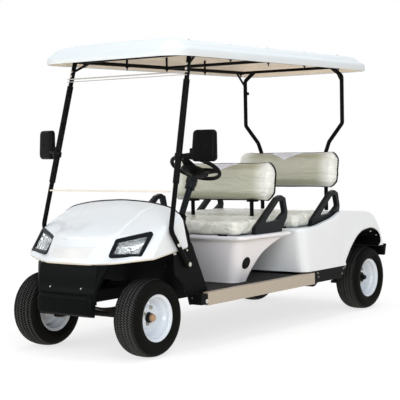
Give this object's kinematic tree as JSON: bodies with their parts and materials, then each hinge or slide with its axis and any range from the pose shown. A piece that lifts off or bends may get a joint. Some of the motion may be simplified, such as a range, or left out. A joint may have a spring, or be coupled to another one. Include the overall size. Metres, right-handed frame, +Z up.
{
  "type": "golf cart",
  "caption": "Open golf cart with two bench rows facing forward, a full-length roof on struts, clear windshield, steering wheel and road wheels.",
  "frame": {"origin": "centre of the footprint on the ground", "axes": "+Z up, front towards -Y, the cart's own left (driver) side towards +X"},
  "size_m": [1.4588, 2.99, 1.9239],
  "materials": {
    "white_body": "glossy",
    "roof_plastic": "satin",
    "black_plastic": "textured",
    "black_gloss": "satin",
    "black_steel": "satin powder coat",
    "running_gear": "satin",
    "bright_steel": "satin",
    "wheel_steel": "glossy",
    "tyre": "matt",
    "mat_rubber": "ribbed",
    "sill_aluminium": "brushed",
    "ivory_vinyl": "vinyl under clear film",
    "windshield": "clear",
    "clear_lens": "clear",
    "red_lens": "glossy",
    "mirror_glass": "polished",
    "battery_case": "matt"
  },
  "bodies": {
    "cart": {"front_axle": "running_gear", "leaf_springs": "running_gear", "dampers": "running_gear", "rear_axle": "running_gear", "chassis_frame": "black_steel", "floor_pan": "black_plastic", "floor_mat": "mat_rubber", "sill_trims": "sill_aluminium", "rear_skirts": "black_plastic", "front_cowl": "white_body", "headlight_bezels": "black_gloss", "headlight_lenses": "clear_lens", "dash": "black_plastic", "front_bumper": "black_plastic", "leg_guards": "black_plastic", "front_struts": "black_steel", "rear_struts": "black_steel", "roof_frame": "black_steel", "roof": "roof_plastic", "windshield_upper": "windshield", "windshield_lower": "windshield", "mirror_heads": "black_gloss", "mirror_glasses": "mirror_glass", "steering_column": "black_gloss", "pedals": "black_steel", "front_seat_pod": "white_body", "rear_body": "white_body", "rear_wheel_housings": "black_plastic", "rear_bumper": "black_plastic", "front_backrest": "ivory_vinyl", "rear_backrest": "ivory_vinyl", "seat_hinges": "black_steel", "front_back_posts": "black_steel", "hip_restraints": "black_gloss", "taillights": "red_lens", "battery_pack": "battery_case"},
    "front_left_wheel": {"front_left_rim": "wheel_steel", "front_left_tyre": "tyre"},
    "front_right_wheel": {"front_right_rim": "wheel_steel", "front_right_tyre": "tyre"},
    "rear_left_wheel": {"rear_left_rim": "wheel_steel", "rear_left_tyre": "tyre", "rear_left_drum": "running_gear"},
    "rear_right_wheel": {"rear_right_rim": "wheel_steel", "rear_right_tyre": "tyre", "rear_right_drum": "running_gear"},
    "left_knuckle": {"knuckle_left": "running_gear"},
    "right_knuckle": {"knuckle_right": "running_gear"},
    "tie_rod": {"tie_rod": "bright_steel"},
    "steering_wheel": {"steering_wheel": "black_gloss"},
    "front_seat": {"front_cushion": "ivory_vinyl"},
    "rear_seat": {"rear_cushion": "ivory_vinyl"}
  },
  "joints": [
    {"name": "left_steer", "type": "hinge", "parent": "cart", "child": "left_knuckle", "pos_m": [0.3, -1.195, 0.235], "axis": [0, 0, 1], "range_deg": [-28, 28]},
    {"name": "right_steer", "type": "hinge", "parent": "cart", "child": "right_knuckle", "pos_m": [-0.3, -1.195, 0.235], "axis": [0, 0, 1], "range_deg": [-28, 28]},
    {"name": "tie_rod_pivot", "type": "hinge", "parent": "left_knuckle", "child": "tie_rod", "pos_m": [0.3, -1.077, 0.2], "axis": [0, 0, 1], "range_deg": [-28, 28]},
    {"name": "steering_wheel_turn", "type": "hinge", "parent": "cart", "child": "steering_wheel", "pos_m": [0.262, -0.495, 1.108], "axis": [0, 0.4695, 0.8829], "range_deg": [-420, 420]},
    {"name": "front_left_spin", "type": "hinge", "parent": "left_knuckle", "child": "front_left_wheel", "pos_m": [0.415, -1.195, 0.235], "axis": [1, 0, 0], "continuous": true},
    {"name": "front_right_spin", "type": "hinge", "parent": "right_knuckle", "child": "front_right_wheel", "pos_m": [-0.415, -1.195, 0.235], "axis": [1, 0, 0], "continuous": true},
    {"name": "rear_left_spin", "type": "hinge", "parent": "cart", "child": "rear_left_wheel", "pos_m": [0.49, 1.233, 0.235], "axis": [1, 0, 0], "continuous": true},
    {"name": "rear_right_spin", "type": "hinge", "parent": "cart", "child": "rear_right_wheel", "pos_m": [-0.49, 1.233, 0.235], "axis": [1, 0, 0], "continuous": true},
    {"name": "front_seat_lift", "type": "hinge", "parent": "cart", "child": "front_seat", "pos_m": [0, -0.403, 0.668], "axis": [1, 0, 0], "range_deg": [0, 50]},
    {"name": "rear_seat_lift", "type": "hinge", "parent": "cart", "child": "rear_seat", "pos_m": [0, 0.297, 0.674], "axis": [1, 0, 0], "range_deg": [0, 75]}
  ],
  "couplings": [
    {"joint": "right_steer", "follows": "left_steer", "ratio": 1},
    {"joint": "tie_rod_pivot", "follows": "left_steer", "ratio": -1},
    {"joint": "steering_wheel_turn", "follows": "left_steer", "ratio": 15}
  ]
}
